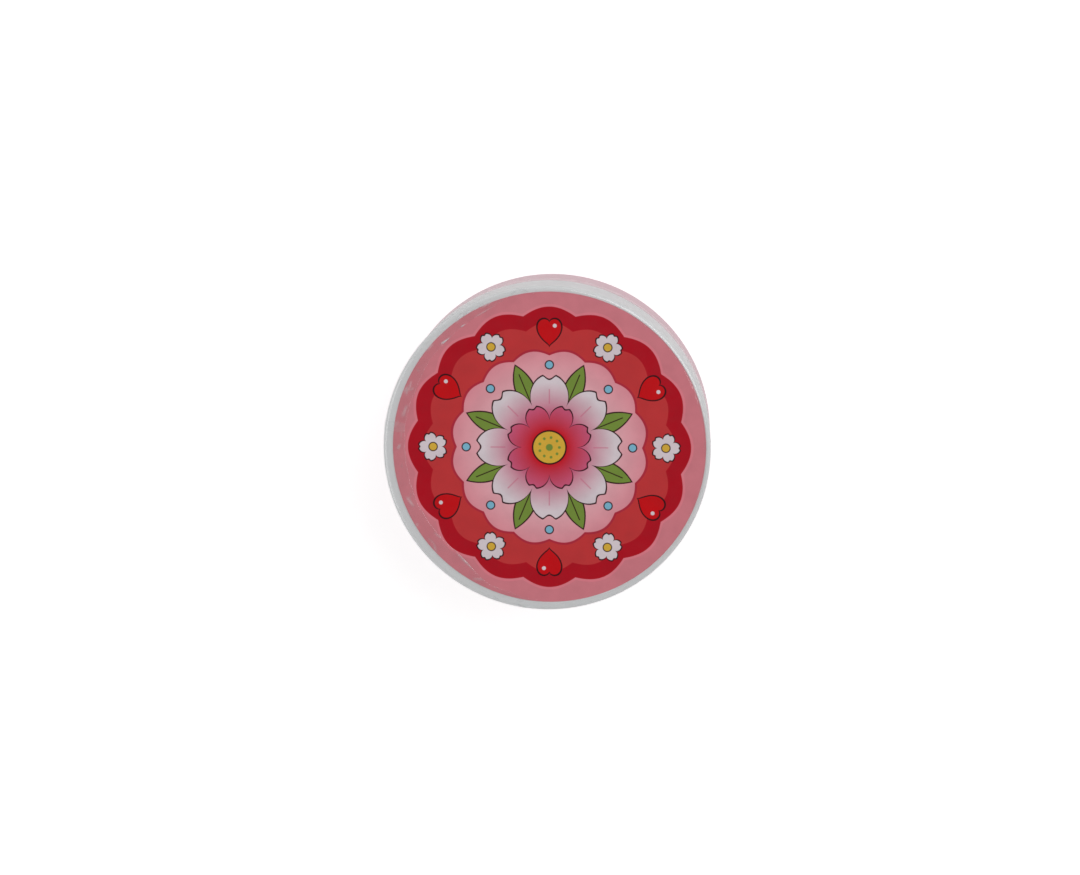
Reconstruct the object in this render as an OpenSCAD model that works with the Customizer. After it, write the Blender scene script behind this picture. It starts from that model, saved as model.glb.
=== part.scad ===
// Round double-wall jar with a soaked foam block, a sealing disc and a screw lid.
// Origin at the centre of the base, +Z up, and the top label reads with +Y up.

/* [Overall] */
// Height from the foot to the top of the lid
total_h = 31; // [27:0.5:50]
// Outside diameter of the lid
lid_d = 70; // [58:0.5:95]

/* [Lid shell] */
// Height of the lid from its lower edge to its top
lid_h = 14.4; // [13.6:0.2:18]
// Thickness of the lid's side wall
lid_wall = 1.3; // [0.9:0.1:2]
// Thickness of the lid's top
lid_top_t = 1.4; // [0.9:0.1:2.2]
// Radius of the lid's upper edge
lid_edge_r = 0.8; // [0.4:0.1:1.2]
// How far the lid's side draws in from its upper to its lower edge
lid_taper = 0.35; // [0:0.05:0.5]
// Radius of the lid's lower edge
lid_lip_r = 0.3; // [0.1:0.05:0.5]
// Open seam between the lid and the jar
seam_gap = 0.4; // [0.2:0.1:1]
// Height of the bead that snaps under the insert
bead_h = 0.3; // [0.2:0.05:0.35]
// How far that bead stands in from the wall
bead_in = 0.4; // [0.2:0.05:0.8]

/* [Lid insert] */
// Thickness of the insert's plate
plate_t = 1.2; // [0.8:0.1:2]
// Thickness of the threaded skirt
skirt_wall = 1.3; // [0.9:0.1:2]
// Hollow between the skirt and the lid shell
lid_gap = 1.5; // [1:0.1:2.5]
// Thickness of the flange at the skirt's foot
insert_flange_t = 1.2; // [0.8:0.1:2]
// Height of the insert's foot above the lid's lower edge
insert_inset = 0.4; // [0.4:0.1:0.9]
// Clearance of the insert inside the lid shell
insert_fit = 0.1; // [0.05:0.01:0.2]

/* [Thread] */
// Number of thread starts
thread_starts = 4; // [2:1:5]
// Height from one ridge to the next
thread_pitch = 3; // [2.8:0.1:3.2]
// Turn that each ridge covers
thread_arc = 150; // [90:5:165]
// Depth of a ridge
thread_depth = 1; // [0.8:0.05:1.2]
// Width of a ridge at its root
ridge_root_w = 1.5; // [1:0.05:1.6]
// Width of a ridge at its crest
ridge_tip_w = 0.9; // [0.5:0.05:1]
// Clearance between a ridge's crest and the wall it faces
thread_gap = 0.3; // [0.2:0.05:0.6]
// Plain height between the skirt's foot and its lowest ridge
thread_rise = 0.35; // [0.2:0.05:0.6]
// Turn over which each end of a ridge fades out
ridge_fade = 16; // [8:2:30]

/* [Jar shell] */
// How far the jar's wall stands in from the lid's
jar_inset = 0.6; // [0.2:0.1:1.2]
// Thickness of the jar's outer wall
shell_wall = 1.6; // [1.2:0.1:2.2]
// Thickness of the jar's outer floor
shell_floor = 1.2; // [0.8:0.1:2]
// Radius of the jar's lower edge
base_round = 2.5; // [1:0.1:3]
// Radius inside the jar's lower edge
inner_round = 1.2; // [0.5:0.1:2]
// Radius of the jar's upper outside edge
shell_lip_r = 0.4; // [0.1:0.05:0.6]
// Width of the flat ring that the jar stands on
foot_w = 2; // [1:0.1:4]
// Depth of the recess inside that ring
foot_recess = 0.5; // [0.3:0.1:1]
// Radius of the ring that carries the cup's floor
boss_r = 22; // [12:0.5:25]
// Width of that ring
boss_w = 2; // [1:0.1:4]
// Height of that ring
boss_h = 0.5; // [0.3:0.1:1]
// Width of the rebate that takes the cup's flange
rebate_w = 0.6; // [0.4:0.05:0.8]

/* [Inner cup] */
// Thickness of the cup's wall
cup_wall = 1.6; // [1:0.1:2.2]
// Thickness of the cup's floor
cup_floor_t = 1.2; // [0.8:0.1:2]
// Radius of the cup's lower edge
cup_round = 1.5; // [0.5:0.1:2.5]
// Thickness of the cup's flange
cup_flange_t = 1.2; // [0.8:0.1:2]
// Depth of the lip under the flange
cup_lip_h = 1.2; // [0.6:0.1:2.5]
// Thickness of that lip
cup_lip_t = 1.1; // [0.8:0.1:1.4]
// Clearance of the cup inside the jar shell
cup_fit = 0.1; // [0.05:0.01:0.2]
// Radius of the rim's edges
rim_r = 0.3; // [0.1:0.05:0.4]

/* [Sponge and remover] */
// Clearance between the sponge and the cup
sponge_gap = 0.3; // [0.2:0.05:1]
// Open height between the sponge and the sealing disc
headroom = 4.4; // [4.2:0.1:6]
// Diameter of the finger well through the sponge
well_d = 16; // [13:0.5:20]
// Number of slits around the well
slit_count = 4; // [2:1:8]
// Width of a slit
slit_w = 0.8; // [0.4:0.1:1.5]
// Length of a slit from the well outwards
slit_l = 12; // [6:0.5:14]
// Turn of the first slit
slit_turn = 45; // [0:5:90]
// Depth of the remover that stands in the well
pool_depth = 2.6; // [1:0.1:4]
// Clearance between the remover and the sponge
pool_gap = 0.3; // [0.2:0.05:0.6]

/* [Sealing disc] */
// Thickness of the disc's flange
disc_flange_t = 0.8; // [0.5:0.1:1.2]
// How far the flange stays inside the neck's outside
disc_inset = 0.2; // [0.1:0.05:0.5]
// Clearance between the disc's wall and the cup
disc_gap = 0.3; // [0.2:0.05:0.6]
// Thickness of the disc's wall
disc_wall = 0.8; // [0.6:0.1:1.2]
// Thickness of the disc's floor
disc_floor_t = 0.8; // [0.6:0.1:1.2]
// Depth of the disc's dish below the rim
disc_drop = 2.6; // [2.2:0.1:3.5]
// Radius of the dish's lower edge
disc_round = 0.6; // [0.3:0.05:1]

/* [Pull tab] */
// Length of the tab from its fold to its tip
tab_l = 12; // [9:0.5:16]
// Width of the tab
tab_w = 12; // [8:0.5:14]
// Thickness of the tab
tab_t = 0.6; // [0.5:0.05:0.7]
// Clearance between the tab and the disc
tab_gap = 0.15; // [0.1:0.05:0.3]
// Distance of the fold from the disc's centre
tab_fold_y = 5; // [2:0.5:8]
// Radius of the round edge that the tab folds on
fold_r = 0.4; // [0.35:0.05:0.5]
// Width of the bar behind the fold
fold_bar_w = 1; // [0.6:0.1:1.6]
// Gap between the round edge and that bar
fold_bar_gap = 0.15; // [0.1:0.05:0.4]
// Number of grip ribs on the tab
rib_count = 3; // [1:1:4]
// Distance from one rib to the next
rib_pitch = 1.4; // [1:0.1:1.8]
// Length of a grip rib
rib_l = 5; // [3:0.5:7]
// Width of a grip rib
rib_w = 0.5; // [0.3:0.05:0.8]
// Height of a grip rib
rib_h = 0.25; // [0.1:0.05:0.4]
// Distance of the outermost rib from the tab's tip
rib_inset = 2; // [1.5:0.1:4]

/* [Liner, labels and film] */
// Thickness of the foam liner in the lid
liner_t = 1.1; // [0.6:0.1:1.6]
// Clearance between the liner and the skirt
liner_gap = 0.3; // [0.2:0.05:0.8]
// Diameter of the label on the lid
label_d = 67; // [50:0.5:67]
// Thickness of a label
label_t = 0.12; // [0.08:0.01:0.15]
// How far off centre the top label is stuck, to the right
label_x = 0.55; // [-0.6:0.05:0.6]
// How far off centre the top label is stuck, upwards
label_y = 0.3; // [-0.6:0.05:0.6]
// Gap between the base label's edge and its recess
base_label_gap = 2.4; // [1:0.1:6]
// Thickness of the clear shrink film
film_t = 0.12; // [0.08:0.01:0.2]
// Slack between the film and what it covers
film_gap = 0.05; // [0.03:0.01:0.1]
// How far the film laps in over the lid's top
film_lap = 4.2; // [2:0.1:6]
// Height of jar wall under the seam that the film covers
film_drop = 4.6; // [2:0.1:8]
// Distance of the film's torn edges from the seam
film_tear = 0.1; // [0.05:0.05:0.3]

/* [Hidden] */
$fn = 96;

// Straight pieces that a rounded edge is drawn with
round_steps = 6;
// Degrees from one section of a thread ridge to the next
ridge_step = 10;
// How deep a ridge or a bar is rooted in its wall
root_sink = 0.25;
// Share of a ridge's depth that is left at its very end
ridge_end = 0.15;

// Radii, from the lid inwards
lid_r = lid_d / 2;
lid_low_r = lid_r - lid_taper;
lid_in_r = lid_r - lid_wall;
insert_r = lid_in_r - insert_fit;
skirt_r = lid_in_r - lid_gap;
skirt_in_r = skirt_r - skirt_wall;
neck_r = skirt_in_r - thread_gap - thread_depth;
bore_r = neck_r - cup_wall;
jar_r = lid_r - jar_inset;
jar_in_r = jar_r - shell_wall;
rebate_r = jar_in_r + rebate_w;
recess_r = jar_r - base_round - foot_w;
disc_r = bore_r - disc_gap;
sponge_r = bore_r - sponge_gap;

// Heights, from the lid's top downwards
lid_z = total_h - lid_h;
shell_top = lid_z - seam_gap;
plate_top = total_h - lid_top_t;
plate_z = plate_top - plate_t;
liner_z = plate_z - liner_t;
rim_z = liner_z - disc_flange_t;
disc_z = rim_z - disc_drop;
insert_z = lid_z + insert_inset;
flange_z = shell_top - cup_flange_t;

// Heights, from the foot upwards
floor_z = foot_recess + shell_floor;
cup_z = floor_z + boss_h;
cup_in_z = cup_z + cup_floor_t;
sponge_top = disc_z - headroom;
disc_floor_top = disc_z + disc_floor_t;
fold_z = disc_floor_top + tab_gap + fold_r;
tab_z = fold_z - tab_t / 2;

// Thread: the lid's ridges run half a pitch under the jar's
thread_lead = thread_starts * thread_pitch;
lid_thread_z = insert_z + thread_rise + ridge_root_w / 2;
jar_thread_z = lid_thread_z + thread_pitch / 2;

// Points of an arc around [x, z], from one angle to another
function arc(x, z, r, from, to) =
    [for (i = [0:round_steps]) let (a = from + (to - from) * i / round_steps) [x + r * cos(a), z + r * sin(a)]];

// Corners of a ridge's section, always in the same sense, whichever way its crest points
function ridge_section(root, tip) = tip > root
    ? [[root, -ridge_root_w / 2], [tip, -ridge_tip_w / 2], [tip, ridge_tip_w / 2], [root, ridge_root_w / 2]]
    : [[tip, -ridge_tip_w / 2], [root, -ridge_root_w / 2], [root, ridge_root_w / 2], [tip, ridge_tip_w / 2]];

// Share of its full depth that a ridge has at a turn t
function ridge_share(t) = ridge_end + (1 - ridge_end) * min(1, t / ridge_fade, (thread_arc - t) / ridge_fade);

// One ridge that climbs around the axis, from a wall at wall_r towards tip_r
module ridge(wall_r, tip_r, z, turn) {
    side = sign(tip_r - wall_r);
    steps = ceil(thread_arc / ridge_step);
    points = [for (i = [0:steps])
        let (t = thread_arc * i / steps, tip = wall_r + (tip_r - wall_r) * ridge_share(t))
        for (p = ridge_section(wall_r - side * root_sink, tip))
            [p[0] * cos(turn + t), p[0] * sin(turn + t), z + thread_lead * t / 360 + p[1]]];
    sides = [for (i = [0:steps - 1], j = [0:3])
        let (a = 4 * i, b = a + 4, k = (j + 1) % 4)
        each [[a + j, a + k, b + k], [a + j, b + k, b + j]]];
    last = 4 * steps;
    ends = [[0, 3, 2], [0, 2, 1], [last, last + 1, last + 2], [last, last + 2, last + 3]];
    polyhedron(points = points, faces = concat(sides, ends));
}

// All the ridges of one thread, spread evenly around the axis
module thread(wall_r, tip_r, z) {
    for (i = [0:thread_starts - 1]) ridge(wall_r, tip_r, z, 360 * i / thread_starts);
}

// Flat disc on the axis
module plate(r, z, t) {
    translate([0, 0, z]) cylinder(r = r, h = t);
}

// Outer wall of the jar, with its foot ring and the ring that carries the cup
module outer_shell() {
    color("pink", 0.8) rotate_extrude() polygon(concat(
        [[0, foot_recess], [recess_r, foot_recess], [recess_r, 0]],
        arc(jar_r - base_round, base_round, base_round, -90, 0),
        arc(jar_r - shell_lip_r, shell_top - shell_lip_r, shell_lip_r, 0, 90),
        [[rebate_r, shell_top], [rebate_r, flange_z], [jar_in_r, flange_z]],
        arc(jar_in_r - inner_round, floor_z + inner_round, inner_round, 0, -90),
        [[boss_r, floor_z], [boss_r, cup_z], [boss_r - boss_w, cup_z], [boss_r - boss_w, floor_z], [0, floor_z]]
    ));
}

// Cup that holds the sponge; its flange drops into the shell's rebate, and its neck carries the thread
module inner_cup() {
    lip_r = jar_in_r - cup_fit;
    color("white") union() {
        rotate_extrude() polygon(concat(
            [[0, cup_z]],
            arc(neck_r - cup_round, cup_z + cup_round, cup_round, -90, 0),
            [[neck_r, flange_z], [lip_r - cup_lip_t, flange_z], [lip_r - cup_lip_t, flange_z - cup_lip_h]],
            [[lip_r, flange_z - cup_lip_h], [lip_r, flange_z], [rebate_r - cup_fit, flange_z]],
            [[rebate_r - cup_fit, shell_top], [neck_r, shell_top]],
            arc(neck_r - rim_r, rim_z - rim_r, rim_r, 0, 90),
            arc(bore_r + rim_r, rim_z - rim_r, rim_r, 90, 180),
            [[bore_r, cup_in_z], [0, cup_in_z]]
        ));
        thread(neck_r, neck_r + thread_depth, jar_thread_z);
    }
}

// Bare sticker up in the foot recess
module base_label() {
    color("whitesmoke") plate(recess_r - base_label_gap, foot_recess - label_t, label_t);
}

// Foam block with a finger well right through it and slits around the well
module sponge() {
    color("hotpink") difference() {
        plate(sponge_r, cup_in_z, sponge_top - cup_in_z);
        plate(well_d / 2, cup_in_z - root_sink, sponge_top - cup_in_z + 2 * root_sink);
        for (i = [0:slit_count - 1]) rotate(slit_turn + 360 * i / slit_count)
            translate([0, -slit_w / 2, cup_in_z - root_sink])
                cube([well_d / 2 + slit_l, slit_w, sponge_top - cup_in_z + 2 * root_sink]);
    }
}

// Liquid that stands in the bottom of the well
module remover_pool() {
    color("lightpink", 0.5) plate(well_d / 2 - pool_gap, cup_in_z, pool_depth);
}

// Film that stays on the jar, below the seam
module shrink_band_lower() {
    in_r = jar_r + film_gap;
    top = shell_top - shell_lip_r - film_tear;
    color("azure", 0.3) difference() {
        plate(in_r + film_t, shell_top - film_drop, top - shell_top + film_drop);
        plate(in_r, shell_top - film_drop - root_sink, top - shell_top + film_drop + 2 * root_sink);
    }
}

// Shallow dish that closes the cup, with the bar that its pull tab folds at
module sealing_disc() {
    color("ghostwhite") union() {
        rotate_extrude() polygon(concat(
            [[0, disc_z]],
            arc(disc_r - disc_round, disc_z + disc_round, disc_round, -90, 0),
            [[disc_r, rim_z], [neck_r - disc_inset, rim_z], [neck_r - disc_inset, liner_z]],
            [[disc_r - disc_wall, liner_z], [disc_r - disc_wall, disc_floor_top], [0, disc_floor_top]]
        ));
        translate([-tab_w / 2, tab_fold_y + fold_r + fold_bar_gap, disc_floor_top - root_sink])
            cube([tab_w, fold_bar_w, tab_z + tab_t - disc_floor_top + root_sink]);
    }
}

// Round-ended pull tab that lies on the disc and folds up on its round edge
module disc_tab() {
    tip_y = tab_fold_y - tab_l;
    color("ghostwhite") union() {
        translate([0, 0, tab_z]) linear_extrude(tab_t) union() {
            translate([0, tip_y + tab_w / 2]) circle(d = tab_w);
            translate([-tab_w / 2, tip_y + tab_w / 2]) square([tab_w, tab_l - tab_w / 2]);
        }
        translate([-tab_w / 2, tab_fold_y, fold_z]) rotate([0, 90, 0]) cylinder(r = fold_r, h = tab_w);
        for (i = [0:rib_count - 1])
            translate([-rib_l / 2, tip_y + rib_inset + i * rib_pitch, tab_z + tab_t - root_sink])
                cube([rib_l, rib_w, root_sink + rib_h]);
    }
}

// Foam liner that seals the disc from above
module lid_liner() {
    color("white") plate(skirt_in_r - liner_gap, liner_z, liner_t);
}

// Smooth outer shell of the lid, with the bead that holds its insert
module lid_shell() {
    bead_z = insert_z - bead_h;
    color("white") rotate_extrude() polygon(concat(
        [[0, plate_top], [lid_in_r, plate_top], [lid_in_r, insert_z], [lid_in_r - bead_in, bead_z + bead_h / 2]],
        [[lid_in_r, bead_z]],
        arc(lid_in_r + lid_lip_r, lid_z + lid_lip_r, lid_lip_r, 180, 270),
        arc(lid_low_r - lid_lip_r, lid_z + lid_lip_r, lid_lip_r, -90, 0),
        arc(lid_r - lid_edge_r, total_h - lid_edge_r, lid_edge_r, 0, 90),
        [[0, total_h]]
    ));
}

// Threaded insert inside the lid: plate, skirt and the flange that the bead snaps under
module lid_insert() {
    color("white") union() {
        rotate_extrude() polygon([
            [0, plate_z], [skirt_in_r, plate_z], [skirt_in_r, insert_z], [insert_r, insert_z],
            [insert_r, insert_z + insert_flange_t], [skirt_r, insert_z + insert_flange_t], [skirt_r, plate_z],
            [insert_r, plate_z], [insert_r, plate_top], [0, plate_top],
        ]);
        thread(skirt_in_r, skirt_in_r - thread_depth, lid_thread_z);
    }
}

// Round printed label on the lid
module top_label() {
    color("palevioletred") translate([label_x, label_y, 0]) plate(label_d / 2, total_h, label_t);
}

// Film that stays on the lid: it covers the side and laps in over the label's edge
module shrink_band_upper() {
    in_r = lid_r + film_gap;
    foot_r = lid_low_r + film_gap;
    edge_x = lid_r - lid_edge_r;
    edge_z = total_h - lid_edge_r;
    lap_z = total_h + label_t + film_gap;
    rise = lap_z - edge_z;
    reach = in_r - edge_x;
    bottom = lid_z + lid_lip_r + film_tear;
    inner = [for (i = [0:round_steps]) let (a = 90 * i / round_steps) [edge_x + reach * cos(a), edge_z + rise * sin(a)]];
    outer = [for (i = [round_steps:-1:0]) let (a = 90 * i / round_steps)
        [edge_x + (reach + film_t) * cos(a), edge_z + (rise + film_t) * sin(a)]];
    color("azure", 0.3) rotate_extrude() polygon(concat(
        [[foot_r, bottom]], inner, [[lid_r - film_lap, lap_z], [lid_r - film_lap, lap_z + film_t]],
        outer, [[foot_r + film_t, bottom]]
    ));
}

outer_shell();
inner_cup();
base_label();
sponge();
remover_pool();
shrink_band_lower();
sealing_disc();
disc_tab();
lid_liner();
lid_shell();
lid_insert();
top_label();
shrink_band_upper();
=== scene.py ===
"""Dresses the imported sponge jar: label, film, plastics, foam and remover, on a plain stage."""

import math
import random

import bpy
from bpy.props import FloatProperty, FloatVectorProperty, IntProperty, PointerProperty
from mathutils import Matrix, Vector, noise


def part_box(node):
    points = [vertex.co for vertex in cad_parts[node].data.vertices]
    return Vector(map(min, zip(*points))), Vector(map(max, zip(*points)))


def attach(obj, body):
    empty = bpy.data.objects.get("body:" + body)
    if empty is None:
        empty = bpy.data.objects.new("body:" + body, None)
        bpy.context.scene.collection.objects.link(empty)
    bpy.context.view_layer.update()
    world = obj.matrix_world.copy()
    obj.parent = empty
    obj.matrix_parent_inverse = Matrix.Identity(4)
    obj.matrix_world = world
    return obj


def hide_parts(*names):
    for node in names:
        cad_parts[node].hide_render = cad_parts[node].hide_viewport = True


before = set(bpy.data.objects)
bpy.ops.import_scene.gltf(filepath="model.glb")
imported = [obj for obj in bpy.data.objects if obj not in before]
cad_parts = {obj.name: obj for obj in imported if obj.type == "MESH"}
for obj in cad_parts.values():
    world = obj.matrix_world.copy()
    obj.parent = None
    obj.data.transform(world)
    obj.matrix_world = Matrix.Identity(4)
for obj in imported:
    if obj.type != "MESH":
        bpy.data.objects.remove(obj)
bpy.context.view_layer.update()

bl_info = {
    "name": "Sponge Jar Looks",
    "version": (1, 0, 0),
    "blender": (4, 5, 0),
    "location": "View3D > Sidebar > Sponge Jar",
    "description": "Gives a packed sponge jar its film, label, plastics, foam and remover",
    "category": "Object",
}

MM = 0.001
PHOTO_SIZE = (1080, 875)
SENSOR_WIDTH = 36.0
PANEL_NAME = "Sponge Jar"
WHITE = (1.0, 1.0, 1.0)

# Inner edge of the film's lap on the lid: angle in degrees and radius in mm
LAP_EDGE = (
    (0, 33.7),
    (60, 33.9),
    (98, 33.7),
    (119, 32.0),
    (134, 31.4),
    (160, 30.7),
    (200, 30.1),
    (229, 29.6),
    (250, 31.9),
    (275, 33.5),
    (360, 33.7),
)
# Tall creases in the lap: angle and radius of both ends, half width in mm and share of the full height
TALL_CREASES = (
    (135.4, 31.9, 128.6, 31.1, 0.17, 1.0),
    (133.0, 31.2, 127.0, 30.9, 0.25, 0.28),
    (125.2, 31.9, 121.6, 31.5, 0.17, 1.0),
    (124.4, 33.6, 121.6, 33.9, 0.17, 0.9),
    (120.6, 33.7, 118.6, 33.9, 0.12, 0.7),
    (119.0, 32.2, 103.0, 33.1, 0.2, 0.24),
    (251.5, 32.3, 238.0, 30.5, 0.16, 0.28),
    (240.0, 30.8, 228.5, 29.7, 0.18, 0.32),
    (246.0, 30.9, 231.0, 30.4, 0.14, 0.22),
)
# Ranges of the small creases in the lap: angle in degrees, gap from the lap's edge in mm, slant in
# radians, length and half width in mm, and share of the full height
CREASE_TURN = (95, 262)
CREASE_GAP = (0.2, 2.4)
CREASE_SLANT = (-0.5, 0.5)
CREASE_LENGTH = (0.8, 3.2)
CREASE_WIDTH = (0.12, 0.3)
CREASE_SHARE = (0.07, 0.27)
# Share of a crease's whiteness in the glued overlap and in the small folds at the edges; in the folds it
# is partly the film's own whitening and partly painted highlight
OVERLAP_HAZE = 0.06
PUCKER_WHITENING_AND_GLINT = 0.18
# Height of the teeth along the film's tear line
TEAR_DEPTH = 0.12 * MM

# Foam: gap to the cup, well, slits from the well, and rounding of the block's edges
FOAM_GAP = 0.1 * MM
WELL_RADIUS = 8.0 * MM
SLIT_END = 20.0 * MM
SLIT_HALF = 0.4 * MM
SLITS = 4
EDGE_ROUND = 0.6 * MM

# Remover's surface: how far in from its side and how far below its rim it is, in mm
MENISCUS = ((0.4, 0.28), (0.9, 0.46), (1.8, 0.58), (3.5, 0.62))
# Ring that the rim presses into the liner: inner and outer radius and depth, in mm
LINER_PRESS = (27.0, 29.4, 0.22)

# Place of each lamp and width of its square, in metres
KEY_LAMP = ((0.46, 0.4, 0.82), 0.8)
FILL_LAMP = ((-0.62, -0.1, 0.6), 0.6)
LAMP_TARGET = (0, 0, 0.02)
FLOOR_HALF = 3.0
FLOOR_DROP = 0.05 * MM
# The lid's widest outline is this far under its top
RIM_DROP = 1.0 * MM


def radius_of(node):
    """Largest half width of a CAD node, in metres."""
    low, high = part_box(node)
    return max(high.x - low.x, high.y - low.y) / 2


def levels_of(node):
    """A CAD node's radius, lowest and highest level, in millimetres."""
    low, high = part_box(node)
    return radius_of(node) / MM, low.z / MM, high.z / MM


def linear(code):
    """Scene colour of a hex colour as it looks on screen."""
    levels = [int(code[i : i + 2], 16) / 255 for i in (0, 2, 4)]
    return tuple(v / 12.92 if v <= 0.04045 else ((v + 0.055) / 1.055) ** 2.4 for v in levels)


def colour(name, description, code):
    """A colour property with its default given as a hex colour."""
    return FloatVectorProperty(
        name=name, description=description, subtype="COLOR", size=3, min=0, max=1, default=linear(code)
    )


def length(name, description, millimetres):
    """A length property with its default given in millimetres."""
    return FloatProperty(
        name=name,
        description=description,
        default=millimetres * MM,
        min=0,
        unit="LENGTH",
        subtype="DISTANCE",
    )


def angle(name, description, degrees):
    """An angle property with its default given in degrees."""
    return FloatProperty(
        name=name,
        description=description,
        default=math.radians(degrees),
        unit="ROTATION",
        subtype="ANGLE",
    )


def amount(name, description, default, low=0, high=300):
    """A whole number property."""
    return IntProperty(name=name, description=description, default=default, min=low, max=high)


def brightness(name, description, default, **limits):
    """A property for light: a power, a strength or a share."""
    return FloatProperty(name=name, description=description, default=default, min=0, **limits)


def pixels(name, description, default):
    """A length or place in the photograph's pixels."""
    return FloatProperty(name=name, description=description, default=default, subtype="PIXEL")


class LabelPrint(bpy.types.PropertyGroup):
    """Colours and sizes of the printed rosette."""

    field: colour("Field", "Pink around the rosette", "d27d87")
    halo: colour("Halo", "Thin light line around the rosette", "e0808c")
    scallop: colour("Scallop", "Outer band of the rosette", "b00a1e")
    band: colour("Band", "Inner band of the rosette", "c23638")
    line: colour("Line", "Thin line inside the bands", "b02a3c")
    centre: colour("Centre", "Pink inside the bands", "df8e9a")
    ink: colour("Ink", "Outline of the motifs", "2e060e")
    petal: colour("Petal", "Pale petals", "dccfd5")
    blush: colour("Blush", "Rose of the inner petals", "c85a7c")
    pollen: colour("Pollen", "Middle of the blossoms", "d9ae3e")
    leaf: colour("Leaf", "Leaves between the petals", "76903c")
    heart: colour("Heart", "Small hearts", "c80812")
    bead: colour("Bead", "Beads around the middle blossom", "7fb9d2")
    lobes: amount("Lobes", "Lobes of the rosette", 16, 6, 32)
    motifs: amount("Motifs", "Small motifs on the bands", 12, 4, 20)
    petals: amount("Petals", "Petals of the middle blossom", 8, 4, 12)


class FilmSizes(bpy.types.PropertyGroup):
    """Sizes of the clear shrink film."""

    thickness: length("Thickness", "Thickness of the film", 0.06)
    slack: length("Slack", "Space between the film and what it covers", 0.06)
    edge: length("Edge", "Radius of the lid's upper edge", 0.8)
    taper: length("Taper", "How far the lid's side draws in downwards", 0.35)
    wander: length("Wander", "How far the lap's edge wanders", 0.22)
    curl: length("Curl", "How far the lap's edge may lift", 0.12)
    pucker: length("Pucker", "Height of the small folds at the edges", 0.1)
    pucker_reach: length("Pucker reach", "How far they run in from the edges", 3.5)
    seam: length("Seam", "Width of the glued overlap", 2.2)
    seam_turn: angle("Seam turn", "Place of the glued overlap, from +X", 172)
    crease: length("Crease", "Height of the tallest crease", 0.16)
    creases: amount("Creases", "Small creases in the lap", 34)
    seed: amount("Seed", "Seed of the creases", 5)


class FoamSizes(bpy.types.PropertyGroup):
    """Sizes and colours of the foam."""

    tint: colour("Tint", "Foam", "c4526c")
    # Colour of the painted shade inside the foam's pores; wet foam darkens towards it too
    pore_shade: colour("Pore", "Foam inside its pores", "7c2238")
    voxel: length("Voxel", "Fineness of the foam's mesh", 0.5)
    cell: length("Cell", "Size of the large cells", 1.3)
    pit: length("Pit", "Depth of the large cells", 0.3)
    crown: length("Crown", "Rise of the foam's top", 0.35)


class PlasticColours(bpy.types.PropertyGroup):
    """Colours of the plastics and the remover."""

    lid: colour("Lid", "Outer shell of the lid", "d9dadb")
    jar: colour("Jar", "Outer wall of the jar", "d8a0af")
    cup: colour("Cup", "Inner cup and lid insert", "e4e2df")
    disc: colour("Disc", "Sealing disc and its tab", "e3e4e3")
    liner: colour("Liner", "Foam liner in the lid", "e6e5e1")
    sticker: colour("Sticker", "Bare sticker under the base", "e2dedb")
    remover: colour("Remover", "Liquid in the well", "f3c4cc")
    dye: colour("Dye", "Dye that the foam gives off", "d0607a")


class StageSettings(bpy.types.PropertyGroup):
    """Camera, lamps and floor."""

    distance: FloatProperty(name="Distance", description="Camera to lid", default=1.0, unit="LENGTH")
    tilt: angle("Tilt", "Camera off the jar's axis", 8.84)
    heading: angle("Heading", "Side that the camera leans to, from +X", 71)
    lid_pixels: pixels("Lid pixels", "Lid's radius in the picture", 163.6)
    lid_x: pixels("Lid across", "Lid's centre in the picture, from its left", 547.0)
    lid_y: pixels("Lid down", "Lid's centre in the picture, from its top", 448.0)
    horizon: brightness("Horizon", "Strength of the sky around the jar", 1.0)
    zenith: brightness("Zenith", "Strength of the sky above the jar", 0.1)
    key: brightness("Key", "Power of the large lamp", 4.8, unit="POWER")
    fill: brightness("Fill", "Power of the small lamp", 1.6, unit="POWER")
    floor: colour("Floor", "Floor", "c4c4c4")
    lift: brightness("Lift", "Own light of the floor as it is seen", 0.7)
    bounce: brightness("Bounce", "Own light of the floor on the jar", 0.2)
    mirror: brightness(
        "Mirror", "Share of the white background in reflections", 0.2, max=1, subtype="FACTOR"
    )


SETTINGS = {
    "jar_label": LabelPrint,
    "jar_film": FilmSizes,
    "jar_foam": FoamSizes,
    "jar_plastics": PlasticColours,
    "jar_stage": StageSettings,
}


class Wire:
    """A node's output, for use in expressions: each operator adds a Math node."""

    def __init__(self, finish, socket):
        self.finish = finish
        self.socket = socket

    def math(self, operation, *values):
        return self.finish.node("ShaderNodeMath", {"operation": operation}, dict(enumerate(values)))

    def __add__(self, other):
        return self.math("ADD", self, other)

    def __sub__(self, other):
        return self.math("SUBTRACT", self, other)

    def __rsub__(self, other):
        return self.math("SUBTRACT", other, self)

    def __mul__(self, other):
        return self.math("MULTIPLY", self, other)

    def __rmul__(self, other):
        return self.math("MULTIPLY", other, self)

    def __truediv__(self, other):
        return self.math("DIVIDE", self, other)

    def __pow__(self, other):
        return self.math("POWER", self, other)

    def __abs__(self):
        return self.math("ABSOLUTE", self)

    def cos(self):
        return self.math("COSINE", self)

    def sin(self):
        return self.math("SINE", self)

    def root(self):
        return self.math("SQRT", self)

    def floor(self):
        return self.math("FLOOR", self)

    def wrapped(self, span):
        return self.math("WRAP", self, span, 0.0)

    def most(self, other):
        return self.math("MAXIMUM", self, other)

    def clamped(self):
        return self.finish.node("ShaderNodeClamp", {}, {0: self})


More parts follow.
